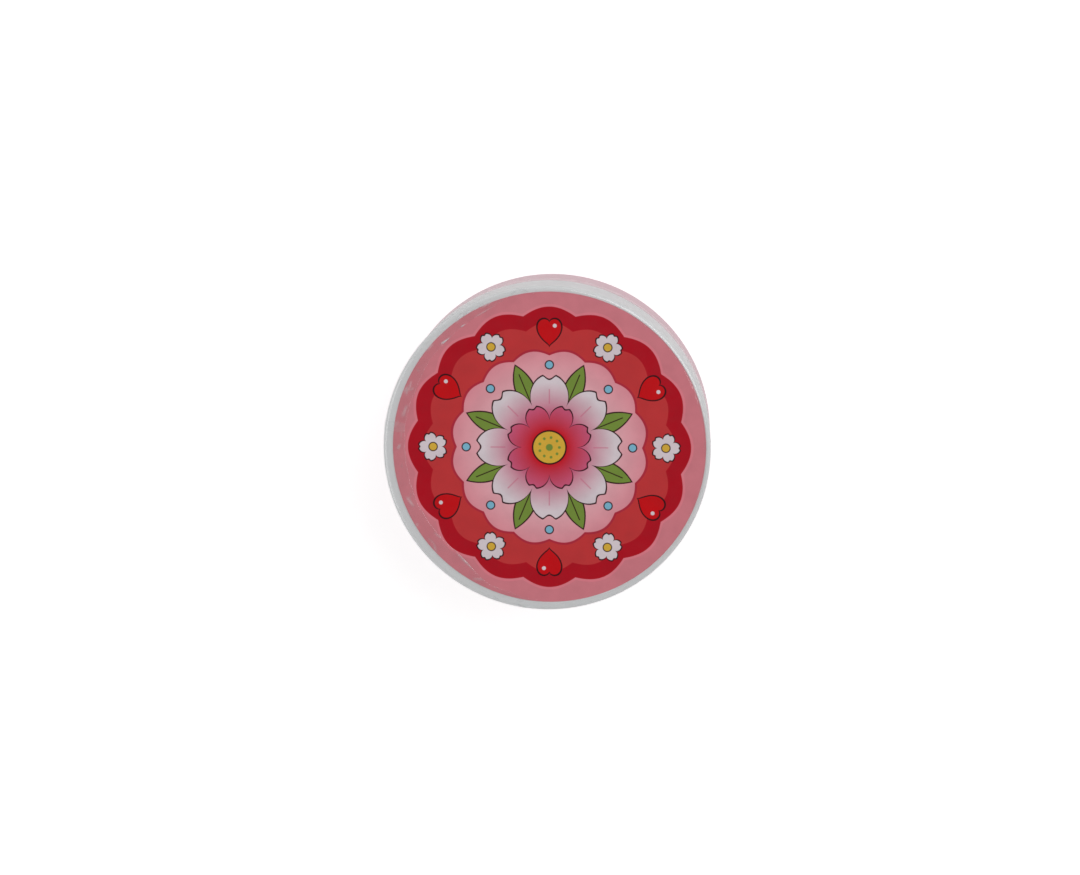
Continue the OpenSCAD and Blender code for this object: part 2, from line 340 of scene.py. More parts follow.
class Finish:
    """A material, or a world, in the making."""

    def __init__(self, name, store=None):
        self.material = (bpy.data.materials if store is None else store).new(name)
        self.material.use_nodes = True
        self.tree = self.material.node_tree
        self.tree.nodes.clear()

    def node(self, kind, settings=None, sockets=None, output=0):
        """Adds a node: first its settings, then a value or a link for each socket."""
        made = self.tree.nodes.new(kind)
        for name, value in (settings or {}).items():
            setattr(made, name, value)
        for key, value in (sockets or {}).items():
            if isinstance(value, Wire):
                self.tree.links.new(value.socket, made.inputs[key])
            else:
                opaque = made.inputs[key].type == "RGBA" and len(value) == 3
                made.inputs[key].default_value = (*value, 1.0) if opaque else value
        return Wire(self, made.outputs[output]) if made.outputs else None

    def place(self, scale=1 / MM):
        """Object coordinates as a vector, in millimetres unless another scale is given."""
        spot = self.node("ShaderNodeTexCoord", output="Object")
        return self.node("ShaderNodeVectorMath", {"operation": "SCALE"}, {0: spot, "Scale": scale})

    def parts(self, vector):
        """The three parts of a vector."""
        split = self.node("ShaderNodeSeparateXYZ", sockets={0: vector}).socket.node
        return [Wire(self, out) for out in split.outputs]

    def mix(self, share, under, over):
        """Colour that goes from under to over as share goes from 0 to 1."""
        return self.node("ShaderNodeMix", {"data_type": "RGBA"}, {0: share, 6: under, 7: over}, output=2)

    def noise(self, vector, size, detail=3.0, rough=0.5):
        """Soft noise from 0 to 1 whose blobs are about size across, in the vector's units."""
        return self.node(
            "ShaderNodeTexNoise",
            sockets={"Vector": vector, "Scale": 1 / size, "Detail": detail, "Roughness": rough},
        )

    def cells(self, vector, size):
        """Distance to the nearest cell point, in cells that are about size across."""
        return self.node(
            "ShaderNodeTexVoronoi", sockets={"Vector": vector, "Scale": 1 / size}, output="Distance"
        )

    def ramp(self, value, low, high, start=0.0, end=1.0):
        """Value mapped from low..high to start..end, held at both ends."""
        return self.node(
            "ShaderNodeMapRange", sockets={"Value": value, 1: low, 2: high, 3: start, 4: end}
        )

    def bump(self, height, depth, strength=1.0, below=None):
        """Surface normal of a height that is depth deep, in metres, at 1."""
        sockets = {"Height": height, "Distance": depth, "Strength": strength}
        if below is not None:
            sockets["Normal"] = below
        return self.node("ShaderNodeBump", sockets=sockets)

    def seen(self, mirror):
        """1 for rays that show the background itself, mirror for what shiny surfaces reflect, else 0."""
        eye, glass, gloss = [
            self.node("ShaderNodeLightPath", output=f"Is {kind} Ray")
            for kind in ("Camera", "Transmission", "Glossy")
        ]
        return eye.most(glass).most(gloss * mirror)

    def facing(self, normal):
        """0 where the surface is seen square on, 1 at its outline."""
        return self.node(
            "ShaderNodeLayerWeight", sockets={"Blend": 0.5, "Normal": normal}, output="Facing"
        )

    def shader(self, kind, **sockets):
        """A shader whose sockets are named with underscores for spaces."""
        return self.node(kind, sockets={key.replace("_", " "): value for key, value in sockets.items()})

    def plastic(self, **sockets):
        return self.shader("ShaderNodeBsdfPrincipled", **sockets)

    def gloss(self, rough, normal):
        return self.shader("ShaderNodeBsdfAnisotropic", Color=WHITE, Roughness=rough, Normal=normal)

    def clear(self, tint=WHITE):
        return self.shader("ShaderNodeBsdfTransparent", Color=tuple(tint))

    def blended(self, share, first, second):
        return self.node("ShaderNodeMixShader", sockets={0: share, 1: first, 2: second})

    def done(self, surface, kind="ShaderNodeOutputMaterial"):
        """Links the shader to the output and returns the material."""
        self.node(kind, sockets={"Surface": surface})
        return self.material


def shaded(tint, share):
    """A colour darkened to a share of itself."""
    return [level * share for level in tint]


def dress(node, material):
    """Gives a CAD node another material."""
    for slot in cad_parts[node].material_slots:
        slot.link = "OBJECT"
        slot.material = material


def add_piece(name, points, faces, material, sharp):
    """A mesh object from points and faces, smooth but for edges over an angle."""
    mesh = bpy.data.meshes.new(name)
    mesh.from_pydata(points, [], faces)
    mesh.update()
    return add_mesh(name, mesh, material, sharp)


def add_mesh(name, mesh, material, sharp):
    """A mesh object with one material, smooth but for edges over an angle."""
    mesh.polygons.foreach_set("use_smooth", [True] * len(mesh.polygons))
    mesh.set_sharp_from_angle(angle=sharp)
    mesh.materials.clear()
    mesh.materials.append(material)
    return add_object(name, mesh)


def add_object(name, data):
    """An object in the scene that shows a mesh, curve, light or camera."""
    thing = bpy.data.objects.new(name, data)
    bpy.context.scene.collection.objects.link(thing)
    return thing


def fit_in(piece, body, nodes):
    """A piece that stands for CAD nodes and rides on their body; the nodes are hidden."""
    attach(piece, body)
    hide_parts(*nodes)
    return piece


def turned(profile, steps=160):
    """Points and faces of a profile of (radius, height) in mm turned around Z, from axis to axis."""
    points, rings, faces = [], [], []
    for radius, height in profile:
        if radius == 0:
            rings.append([len(points)] * steps)
            points.append((0.0, 0.0, height * MM))
            continue
        start = len(points)
        rings.append(list(range(start, start + steps)))
        for i in range(steps):
            a = math.tau * i / steps
            points.append((radius * MM * math.cos(a), radius * MM * math.sin(a), height * MM))
    for low, high in zip(rings, rings[1:]):
        for i in range(steps):
            j = (i + 1) % steps
            corners = [low[i], low[j], high[j], high[i]]
            faces.append([c for k, c in enumerate(corners) if c not in corners[:k]])
    return points, faces


def rounded(x, z, radius, start, end, steps=3):
    """Points of an arc around (x, z), in millimetres and degrees, as (radius, height)."""
    turns = [math.radians(start + (end - start) * i / steps) for i in range(steps + 1)]
    return [(x + radius * math.cos(a), z + radius * math.sin(a)) for a in turns]


# Label


def edge_cover(gap, soft=0.14):
    """Cover of a printed shape from the signed distance to its edge, in millimetres."""
    return (0.5 - gap / soft).clamped()


def reach_of(x, y):
    """Distance from the middle."""
    return (x * x + y * y).root()


def polar(x, y):
    """Distance from the middle, and angle from +X."""
    return reach_of(x, y), x.math("ARCTAN2", y, x)


def lobed(reach, turn, radius, depth, count):
    """Distance outside a rosette with rounded lobes."""
    return reach - radius + depth * (1 - abs((turn * (count / 2)).cos()))


def around(x, y, count, start=math.pi / 2):
    """Repeats a place around the middle: its offset across and outwards, and the copy's number."""
    reach, turn = polar(x, y)
    turn = (turn - start) * (count / math.tau)
    number = (turn + 0.5).floor()
    local = (turn - number) * (math.tau / count)
    return reach * local.sin(), reach * local.cos(), number


def dot_gap(u, v, out, radius, across=0.0):
    """Distance outside a round dot."""
    return reach_of(u - across, v - out) - radius


def blossom_gap(u, v, radius, petals, waist, notch):
    """Distance outside a blossom: petals meet at waist times the radius, and notch dents their tips."""
    reach, turn = polar(v, u)
    tip = abs((turn * (petals / 2)).cos())
    edge = (tip**0.55) * (1 - waist) + waist
    edge = edge - ((tip - 0.93) / 0.07).most(0.0) ** 1.5 * notch
    return reach - edge * radius


def heart_gap(u, v, size):
    """Distance outside a heart of that half width, with its tip at low v."""
    side = abs(u / size)
    lift = v / size - side.root() * 0.62
    return ((side * side + lift * lift).root() - 1) * size


def leaf_gap(u, v, start, end, width):
    """Distance outside a leaf that runs outwards from start to end."""
    middle, half = (start + end) / 2, (end - start) / 2
    along = (v - middle) / half
    return abs(u) - (1 - along * along) * width


def printer(finish, ink):
    """A function that prints a shape over a colour, with an outline in ink where a width is given."""

    def paint(under, gap, over, outline=0.0):
        if outline:
            under = finish.mix(edge_cover(gap - outline), under, ink)
        return finish.mix(edge_cover(gap), under, over)

    return paint


def print_bands(finish, look, paint, x, y):
    """Scalloped bands on the plain field, around a pale centre."""
    reach, turn = polar(x, y)
    outer = lobed(reach, turn, 30.3, 1.6, look.lobes)
    inner = lobed(reach, turn + math.pi / look.lobes, 20.9, 1.1, look.lobes)
    halo_width, scallop_width, line_width = 0.55, 3.3, 0.5
    shade = paint(look.field, outer - halo_width, look.halo)
    shade = paint(shade, outer, look.scallop)
    shade = paint(shade, outer + scallop_width, look.band)
    shade = paint(shade, inner - line_width, look.line)
    pale = [0.35 + 0.65 * level for level in look.centre]
    return paint(shade, inner, finish.mix(finish.ramp(reach, 21, 8), look.centre, pale))


def print_leaves(finish, look, paint, x, y, shade):
    """A leaf with a vein behind each gap between the petals."""
    u, v, _ = around(x, y, look.petals, math.pi / look.petals + math.pi / 2)
    leaf = leaf_gap(u, v, start=8.0, end=18.9, width=1.9)
    shade = paint(shade, leaf, look.leaf, outline=0.32)
    half_vein, vein_end = 0.12, 17.0
    vein = edge_cover(abs(u) - half_vein) * edge_cover(v - vein_end) * edge_cover(leaf)
    return finish.mix(vein, shade, look.ink)


def print_blossom(finish, look, paint, x, y, shade):
    """The large blossom: pale outer petals with a fold each, rose inner petals and a seeded middle."""
    reach = reach_of(x, y)
    outer = blossom_gap(x, y, 15.6, look.petals, waist=0.6, notch=0.07)
    petal = finish.mix(finish.ramp(reach, 14, 7), look.petal, look.blush)
    shade = paint(shade, outer, petal, outline=0.36)
    u, v, _ = around(x, y, look.petals)
    half_fold, fold_start, fold_end = 0.13, 9.4, 12.6
    fold = edge_cover(abs(u) - half_fold) * edge_cover(v - fold_end) * edge_cover(fold_start - v)
    shade = finish.mix(fold * 0.55, shade, look.blush)

    spin = math.pi / look.petals
    spun_x = x * math.cos(spin) - y * math.sin(spin)
    spun_y = x * math.sin(spin) + y * math.cos(spin)
    inner = blossom_gap(spun_x, spun_y, 9.2, look.petals, waist=0.62, notch=0.06)
    rose = finish.mix(finish.ramp(reach, 9, 3.5), look.blush, look.heart)
    shade = paint(shade, inner, rose, outline=0.34)
    shade = paint(shade, reach - 3.4, look.pollen, outline=0.34)
    u, v, _ = around(x, y, 9, 0.0)
    shade = paint(shade, dot_gap(u, v, out=2.15, radius=0.3), look.leaf)
    return paint(shade, reach - 0.75, look.leaf)


def print_motifs(finish, look, paint, x, y, shade):
    """Beads around the blossom, and hearts and small blossoms by turns on the bands."""
    u, v, _ = around(x, y, look.petals)
    shade = paint(shade, dot_gap(u, v, out=17.8, radius=0.75), look.bead, outline=0.26)
    u, v, number = around(x, y, look.motifs)
    heart = heart_gap(u, v - 24.3, 2.5)
    shine = dot_gap(u, v, out=26.2, radius=0.42, across=-1.15)
    hearts = paint(paint(shade, heart, look.heart, outline=0.32), shine, look.petal)
    middle = 24.9
    small = blossom_gap(u, v - middle, 3.0, 5, waist=0.58, notch=0.1)
    dot = dot_gap(u, v, out=middle, radius=0.8)
    blooms = paint(paint(shade, small, look.petal, outline=0.32), dot, look.pollen, outline=0.22)
    odd = number.wrapped(2.0)
    return finish.mix(odd.math("GREATER_THAN", odd, 0.5), hearts, blooms)


def label_material(look, centre):
    """Printed paper label under a thin satin film."""
    finish = Finish("label_print")
    spot = finish.place()
    x, y, _ = finish.parts(spot)
    x, y = x - centre.x / MM, y - centre.y / MM
    paint = printer(finish, look.ink)
    shade = print_bands(finish, look, paint, x, y)
    for layer in (print_leaves, print_blossom, print_motifs):
        shade = layer(finish, look, paint, x, y, shade)
    mottle = finish.noise(spot, 3.2, 4.0)
    shade = finish.mix(finish.ramp(mottle, 0.35, 0.75, 0.0, 0.1), shade, look.ink)
    grain = finish.noise(spot, 0.25, 2.0)
    waves = finish.noise(spot, 9.0, 2.0)
    rough = finish.ramp(finish.noise(spot, 1.6, 4.0), 0.3, 0.7, 0.3, 0.42)
    normal = finish.bump(grain, 0.00001, 0.5, finish.bump(waves, 0.0001, 0.35))
    return finish.done(
        finish.plastic(Base_Color=shade, Roughness=rough, Normal=normal, Specular_IOR_Level=0.22)
    )


# Film


def arc_of(turn, radius):
    """Point at an angle on a circle around the jar's axis."""
    return Vector((math.cos(turn) * radius, math.sin(turn) * radius, 0))


def film_creases(sizes):
    """The tall creases, then small random ones, as (start, end, half width, height)."""
    draw = random.Random(sizes.seed)
    creases = []
    for start, near, end, far, width, share in TALL_CREASES:
        first = arc_of(math.radians(start), near * MM)
        last = arc_of(math.radians(end), far * MM)
        creases.append((first, last, width * MM, share * sizes.crease))
    for _ in range(sizes.creases):
        turn = math.radians(draw.uniform(*CREASE_TURN))
        first = arc_of(turn, lap_radius(turn) + draw.uniform(*CREASE_GAP) * MM)
        slant = turn + math.pi / 2 + draw.uniform(*CREASE_SLANT)
        last = first + arc_of(slant, draw.uniform(*CREASE_LENGTH) * MM)
        width = draw.uniform(*CREASE_WIDTH) * MM
        creases.append((first, last, width, draw.uniform(*CREASE_SHARE) * sizes.crease))
    return creases


def crease_height(creases, spot):
    """Height of the creases at a point of the lid's top."""
    height = 0.0
    for start, end, width, tall in creases:
        line, off = end - start, spot - start
        share = (off.x * line.x + off.y * line.y) / (line.x**2 + line.y**2)
        if -0.2 < share < 1.2:
            gap = math.hypot(off.x - line.x * share, off.y - line.y * share) / width
            if gap < 3:
                ends = 2.5 * (2 * share - 1) ** 4
                height = max(height, tall * math.exp(-(gap**2) - ends))
    return height


def lap_radius(turn):
    """Radius of the lap's inner edge at an angle."""
    degrees = math.degrees(turn) % 360
    for (start, low), (end, high) in zip(LAP_EDGE, LAP_EDGE[1:]):
        if degrees <= end:
            share = (1 - math.cos(math.pi * (degrees - start) / (end - start))) / 2
            return (low + (high - low) * share) * MM


def film_material():
    """Clear glossy film that whitens where it is creased: partly its own whitening, partly painted
    highlight streaks.
    """
    finish = Finish("shrink_film")
    spot = finish.place()
    fold = finish.node("ShaderNodeAttribute", {"attribute_name": "fold"}, output="Fac")
    haze = finish.ramp(finish.noise(spot, 4.0, 3.0, 0.5), 0.45, 0.8, 0.0, 0.015)
    # Whitening on the creases, partly the film's own and partly painted highlight streaks; the haze is
    # random
    white = (haze + fold * 0.7).clamped()
    ripple = finish.bump(finish.noise(spot, 6.0, 2.0), 0.00004, 0.3)
    gleam = finish.facing(ripple) ** 5 * 0.15 + 0.035
    sheet = finish.blended(gleam, finish.clear(), finish.gloss(0.13, ripple))
    # Whitish plastic for the creases: partly the film's own whitening, partly painted highlight
    milky_and_glint = finish.plastic(Base_Color=(0.8, 0.81, 0.83), Roughness=0.2, Normal=ripple)
    return finish.done(finish.blended(white, sheet, milky_and_glint))


def film_piece(name, rows, sizes, material):
    """A sheet of film from rows of (point, fold) around the jar, thickened outwards."""
    steps = len(rows[0])
    points = [spot for row in rows for spot, _ in row]
    faces = []
    for k in range(len(rows) - 1):
        for i in range(steps):
            j = (i + 1) % steps
            faces.append([k * steps + i, k * steps + j, (k + 1) * steps + j, (k + 1) * steps + i])
    piece = add_piece(name, points, faces, material, math.radians(80))
    # fold: crease and pucker whitening, partly the film's own and partly painted highlight
    folds = piece.data.attributes.new("fold", "FLOAT", "POINT")
    folds.data.foreach_set("value", [fold for row in rows for _, fold in row])
    thick = piece.modifiers.new("thickness", "SOLIDIFY")
    thick.thickness = sizes.thickness
    thick.offset = 1
    return piece


def overlap(turn, radius, sizes):
    """Extra height where the film is glued over itself."""
    reach = radius * abs(math.remainder(turn - sizes.seam_turn, math.tau))
    return sizes.thickness if reach < sizes.seam / 2 else 0.0


def puckers(turn, up, sizes):
    """Height of the small upright folds at that distance from an edge of the film."""
    ridge = max(0.0, noise.noise(arc_of(turn, 30)) - 0.2) * 3
    reach = sizes.pucker_reach * (0.6 + max(0.0, noise.noise(arc_of(turn, 7))))
    return sizes.pucker * min(1.0, ridge) * max(0.0, 1 - up / reach) ** 2


def tear(turn, teeth=150):
    """Edge that is torn at a perforation: small even teeth on a slow wander."""
    tooth = abs((turn * teeth / math.tau) % 1 - 0.5) * 2
    return TEAR_DEPTH * tooth + 0.5 * TEAR_DEPTH * noise.noise(arc_of(turn, 9))


def lid_film_rows(sizes, steps=1080, side=8, bend=8, lap=20):
    """Rows of the film on the lid, from the torn edge up the side and in over the label."""
    low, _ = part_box("shrink_band_upper")
    wall = radius_of("lid_shell") + sizes.slack
    corner_r = radius_of("lid_shell") - sizes.edge
    corner_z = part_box("lid_shell")[1].z - sizes.edge
    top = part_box("top_label")[1].z + sizes.slack
    creases = film_creases(sizes)
    rows = []
    for k in range(side + bend + lap + 1):
        row = []
        for i in range(steps):
            turn = math.tau * i / steps
            foot = low.z + tear(turn)
            over = overlap(turn, wall, sizes)
            if k <= side:
                share = k / side
                height = 0.6 * puckers(turn, (corner_z - foot) * share, sizes)
                spot = arc_of(turn, wall + over - sizes.taper * (1 - share) + height)
                spot.z = foot + (corner_z - foot) * share
            elif k <= side + bend:
                bent = math.pi / 2 * (k - side) / bend
                spot = arc_of(turn, corner_r + (sizes.edge + sizes.slack + over) * math.cos(bent))
                height = crease_height(creases, spot)
                spot.z = corner_z + (top + over - corner_z) * math.sin(bent) + height
            else:
                share = (k - side - bend) / lap
                sway = noise.noise(arc_of(turn, 9)) + 0.5 * noise.noise(arc_of(turn, 31))
                inner = lap_radius(turn) + sizes.wander * sway
                spot = arc_of(turn, corner_r + (inner - corner_r) * share)
                height = crease_height(creases, spot)
                lifted = max(0.0, noise.noise(arc_of(turn, 5) + Vector((0, 0, 5))))
                spot.z = top + over + height + sizes.curl * lifted * share**3
            # Crease and pucker whitening, partly the film's own and partly painted highlight streaks
            fold = height / sizes.crease * (PUCKER_WHITENING_AND_GLINT if k <= side else 1)
            row.append((spot, min(1.0, fold + over / sizes.thickness * OVERLAP_HAZE)))
        rows.append(row)
    return rows


def jar_film_rows(sizes, steps=1080, rise=12):
    """Rows of the film on the jar, from its lower edge up to the torn edge."""
    low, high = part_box("shrink_band_lower")
    radius = radius_of("outer_shell") + sizes.slack
    rows = []
    for k in range(rise + 1):
        row = []
        for i in range(steps):
            turn = math.tau * i / steps
            foot = low.z + 0.3 * MM * (1 + noise.noise(arc_of(turn, 3)))
            up = (high.z - tear(turn) - foot) * k / rise
            over = overlap(turn, radius, sizes)
            height = puckers(turn + 1, up, sizes)
            spot = arc_of(turn, radius + over + height)
            spot.z = foot + up
            # Pucker and overlap whitening; in the puckers it is partly painted highlight
            fold = height / sizes.crease * PUCKER_WHITENING_AND_GLINT
            row.append((spot, fold + over / sizes.thickness * OVERLAP_HAZE))
        rows.append(row)
    return rows


# Foam and remover


def foam_outlines():
    """Outer circle and the well with its slits, as closed lists of (x, y)."""
    outer = radius_of("sponge") - FOAM_GAP
    turns = [math.tau * i / 180 for i in range(180)]
    ring = [(outer * math.cos(a), outer * math.sin(a)) for a in turns]
    near, far = math.sqrt(WELL_RADIUS**2 - SLIT_HALF**2), SLIT_END - SLIT_HALF
    slit = ((near, -1), (far, -1), (SLIT_END, 0), (far, 1), (near, 1))
    half_mouth = math.asin(SLIT_HALF / WELL_RADIUS)
    span = math.tau / SLITS - 2 * half_mouth
    hole = []
    for k in range(SLITS):
        turn = math.radians(45 + 360 / SLITS * k)
        along = Vector((math.cos(turn), math.sin(turn)))
        across = Vector((-math.sin(turn), math.cos(turn)))
        hole += [tuple(along * reach + across * (side * SLIT_HALF)) for reach, side in slit]
        for i in range(1, 12):
            a = turn + half_mouth + span * i / 12
            hole.append((WELL_RADIUS * math.cos(a), WELL_RADIUS * math.sin(a)))
    return ring, hole


def foam_mesh(sizes):
    """Foam block with its well and slits, remeshed, crowned and pitted."""
    low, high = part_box("sponge")
    tall = high.z - low.z - sizes.crown
    curve = bpy.data.curves.new("foam_outline", "CURVE")
    curve.dimensions = "2D"
    curve.fill_mode = "BOTH"
    curve.bevel_depth = EDGE_ROUND
    curve.bevel_resolution = 2
    curve.offset = -EDGE_ROUND
    curve.extrude = tall / 2 - EDGE_ROUND
    for outline in foam_outlines():
        spline = curve.splines.new("POLY")
        spline.points.add(len(outline) - 1)
        spline.points.foreach_set("co", [c for x, y in outline for c in (x, y, 0, 1)])
        spline.use_cyclic_u = True
    block = add_object("foam_block", curve)
    solid = add_object("foam_solid", evaluated_mesh(block))
    bpy.data.objects.remove(block)
    remesh = solid.modifiers.new("remesh", "REMESH")
    remesh.mode = "VOXEL"
    remesh.voxel_size = sizes.voxel
    mesh = evaluated_mesh(solid)
    bpy.data.objects.remove(solid)
    pit_foam(mesh, sizes, low.z + tall / 2, radius_of("sponge"), tall)
    return mesh


def evaluated_mesh(source):
    """The evaluated mesh of an object, as a new mesh."""
    seen = source.evaluated_get(bpy.context.evaluated_depsgraph_get())
    return bpy.data.meshes.new_from_object(seen)


def pit_foam(mesh, sizes, middle, radius, tall):
    """Lifts the block into place, crowns its top and presses the large cells into it."""
    count = len(mesh.vertices)
    flat = [0.0] * (3 * count)
    mesh.vertices.foreach_get("co", flat)
    normals = [tuple(v.normal) for v in mesh.vertices]
    moved = []
    for i in range(count):
        spot, out = Vector(flat[3 * i : 3 * i + 3]), Vector(normals[i])
        reach = math.hypot(spot.x, spot.y)
        spot.z += middle
        distance = noise.voronoi(spot / sizes.cell)[0]
        pit = max(0.0, 0.62 - distance[0]) * 1.4 + 0.25 * noise.noise(spot / (0.5 * sizes.cell))
        spot -= out * sizes.pit * min(1.0, max(0.0, pit))
        raised = max(0.0, (spot.z - middle) / (tall / 2))
        spot.z += sizes.crown * raised**4 * (1 - (reach / radius) ** 2) * 0.9
        moved.extend(spot)
    mesh.vertices.foreach_set("co", moved)
    mesh.update()


def foam_material(sizes):
    """Open-cell foam with painted shade in its pores, soaked and darker towards the floor."""
    finish = Finish("soaked_foam")
    spot = finish.place()
    _, _, z = finish.parts(spot)
    coarse = finish.cells(spot, 0.95)
    fine = finish.cells(spot, 0.42)
    patches = finish.noise(spot, 5.0, 3.0)
    # Painted shade in the pores, strongest at the middles of the cells
    pore_shade = (finish.ramp(coarse, 0.5, 0.15) * 0.6 + finish.ramp(fine, 0.5, 0.2) * 0.5).clamped()
    wet = finish.ramp(z + patches * 5.0, 14.0, 6.0)
    pale = [min(1.0, level * 1.35) for level in sizes.tint]
    dry = finish.mix(finish.ramp(patches, 0.3, 0.7, 0.0, 0.3), sizes.tint, pale)
    shade = finish.mix(pore_shade, dry, sizes.pore_shade)
    # Soaked foam darkens towards the same colour as the painted pore shade
    shade = finish.mix(wet * 0.45, shade, sizes.pore_shade)
    rough = finish.ramp(wet, 0.0, 1.0, 0.88, 0.45)
    normal = finish.bump(coarse + fine * 0.5, 0.0004, 0.9)
    return finish.done(
        finish.plastic(
            Base_Color=shade,
            Roughness=rough,
            Normal=normal,
            Subsurface_Weight=0.15,
            Subsurface_Scale=0.0015,
        )
    )


def remover_material(colours):
    """Clear tinted liquid, with a few swirls of dye from the foam."""
    finish = Finish("remover_liquid")
    spot = finish.place()
    ripple = finish.bump(finish.noise(spot, 4.0, 2.0), 0.0001, 0.4)
    dye = finish.plastic(Base_Color=tuple(colours.dye), Roughness=0.2, Normal=ripple)
    swirls = finish.ramp(finish.noise(spot, 3.0, 3.0), 0.35, 0.75, 0.05, 0.3)
    cloudy = finish.blended(swirls, finish.clear(colours.remover), dye)
    shine = finish.facing(ripple) ** 5 * 0.9 + 0.025
    return finish.done(finish.blended(shine, cloudy, finish.gloss(0.03, ripple)))


# Plastics


def moulded_material(name, tint, rough, coat=0.0, glow=0.0, speck=0.0, wet=None):
    """Moulded plastic with flow marks and scuffs: dusty where speck is set, stained below wet, in mm."""
    finish = Finish(name)
    spot = finish.place()
    flow = finish.noise(spot, 9.0, 1.5)
    peel = finish.noise(spot, 1.6, 1.0)
    scuffs = finish.noise(spot, 2.5, 6.0, 0.65)
    shade = finish.mix(finish.ramp(flow, 0.3, 0.7, 0.0, 0.3), tuple(tint), shaded(tint, 0.94))
    if speck:
        dust = finish.ramp(finish.cells(spot, 1.9), 0.05, 0.03) * finish.ramp(flow, 0.5, 0.6)
        shade = finish.mix(dust * speck, shade, (0.35, 0.33, 0.32))
    level = finish.ramp(scuffs, 0.35, 0.75, rough, rough + 0.08)
    if wet is not None:
        _, _, z = finish.parts(spot)
        damp = finish.ramp(z + flow * 2.0, wet + 1.5, wet)
        level = level - damp * (rough - 0.12)
        stained = [level * share for level, share in zip(tint, (0.97, 0.8, 0.83))]
        shade = finish.mix(damp * 0.35, shade, stained)
    normal = finish.bump(peel, 0.000002, 0.5, finish.bump(flow, 0.00003, 0.2))
    return finish.done(
        finish.plastic(
            Base_Color=shade,
            Roughness=level,
            Normal=normal,
            Coat_Weight=coat,
            Coat_Roughness=0.06,
            Subsurface_Weight=glow,
            Subsurface_Scale=0.001,
            Subsurface_Radius=(1.0, 0.75, 0.7),
        )
    )


def liner_material(colours):
    """Closed-cell foam sheet with a fine skin and painted shade in its cell hollows."""
    finish = Finish("liner_foam_sheet")
    spot = finish.place()
    cell = finish.cells(spot, 0.5)
    patch = finish.noise(spot, 4.0, 3.0)
    # Painted shade in the hollows of the cells, where the bump below is low
    hollow_shade = finish.ramp(cell, 0.55, 0.1, 0.0, 0.35)
    shade = finish.mix(hollow_shade, tuple(colours.liner), shaded(colours.liner, 0.8))
    rough = finish.ramp(patch, 0.3, 0.7, 0.6, 0.75)
    normal = finish.bump(cell, 0.00012, 0.7)
    return finish.done(finish.plastic(Base_Color=shade, Roughness=rough, Normal=normal))


def sticker_material(colours):
    """Bare coated paper with faint fibres."""
    finish = Finish("bare_sticker")
    spot = finish.place()
    fibres = finish.noise(spot, 0.35, 6.0, 0.7)
    patch = finish.noise(spot, 7.0, 3.0)
    dark, worn = shaded(colours.sticker, 0.85), shaded(colours.sticker, 0.9)
    shade = finish.mix(finish.ramp(fibres, 0.4, 0.8, 0.0, 0.3), tuple(colours.sticker), dark)
    shade = finish.mix(finish.ramp(patch, 0.4, 0.8, 0.0, 0.2), shade, worn)
    rough = finish.ramp(fibres, 0.3, 0.7, 0.5, 0.62)
    normal = finish.bump(fibres, 0.00002, 0.6)
    return finish.done(finish.plastic(Base_Color=shade, Roughness=rough, Normal=normal))


# Stage


def add_lamp(name, place, size, power):
    """Square soft lamp that faces the jar."""
    light = bpy.data.lights.new(name, "AREA")
    light.shape = "SQUARE"
    light.size = size
    light.energy = power
    lamp = add_object(name, light)
    lamp.location = place
    lamp.rotation_euler = (Vector(place) - Vector(LAMP_TARGET)).to_track_quat("Z", "Y").to_euler()


def add_camera(stage, target, target_radius):
    """Camera that puts the lid's outline where the photograph has it."""
    lean = Vector((math.cos(stage.heading), math.sin(stage.heading), 0))
    back = lean * math.sin(stage.tilt) + Vector((0, 0, math.cos(stage.tilt)))
    right = Vector((0, 1, 0)).cross(back).normalized()
    up = back.cross(right)
    focus = stage.lid_pixels * stage.distance / target_radius
    off_x = (stage.lid_x - PHOTO_SIZE[0] / 2) * target_radius / stage.lid_pixels
    off_y = (stage.lid_y - PHOTO_SIZE[1] / 2) * target_radius / stage.lid_pixels
    lens = bpy.data.cameras.new("photo_camera")
    lens.sensor_fit = "HORIZONTAL"
    lens.sensor_width = SENSOR_WIDTH
    lens.lens = focus * SENSOR_WIDTH / PHOTO_SIZE[0]
    lens.clip_start = 0.01
    camera = add_object("photo_camera", lens)
    place = target + back * stage.distance - right * off_x + up * off_y
    turn = Matrix((right, up, back)).transposed().to_4x4()
    camera.matrix_world = Matrix.Translation(place) @ turn
    bpy.context.scene.camera = camera


def sky_world(stage):
    """Sky that is pale around the jar and dim above it, and that the camera sees as white."""
    finish = Finish("studio_sky", bpy.data.worlds)
    _, _, z = finish.parts(finish.node("ShaderNodeTexCoord", output="Generated"))
    seen = finish.seen(stage.mirror)
    level = finish.ramp(z, 0.0, 0.9, stage.horizon, stage.zenith)
    shine = finish.shader("ShaderNodeBackground", Color=WHITE, Strength=level + seen * (1 - level))
    return finish.done(shine, "ShaderNodeOutputWorld")


def floor_material(stage):
    """Pale matte floor that keeps the shadow, is white for the camera and clear from below."""
    finish = Finish("stage_floor")
    # Sampled as a lamp, the floor's own light would leave a dark line under the jar.
    finish.material.cycles.emission_sampling = "NONE"
    seen = finish.seen(stage.mirror)
    matte = finish.shader("ShaderNodeBsdfDiffuse", Color=tuple(stage.floor))
    x, y, _ = finish.parts(finish.place(1.0))
    far = finish.ramp(reach_of(x, y), 0.3, 1.4, stage.lift, 1.0)
    strength = seen * (far - stage.bounce) + stage.bounce
    glow = finish.shader("ShaderNodeEmission", Color=WHITE, Strength=strength)
    lit = finish.node("ShaderNodeAddShader", sockets={0: matte, 1: glow})
    below = finish.node("ShaderNodeNewGeometry", output="Backfacing")
    return finish.done(finish.blended(below, lit, finish.clear()))


# Operators


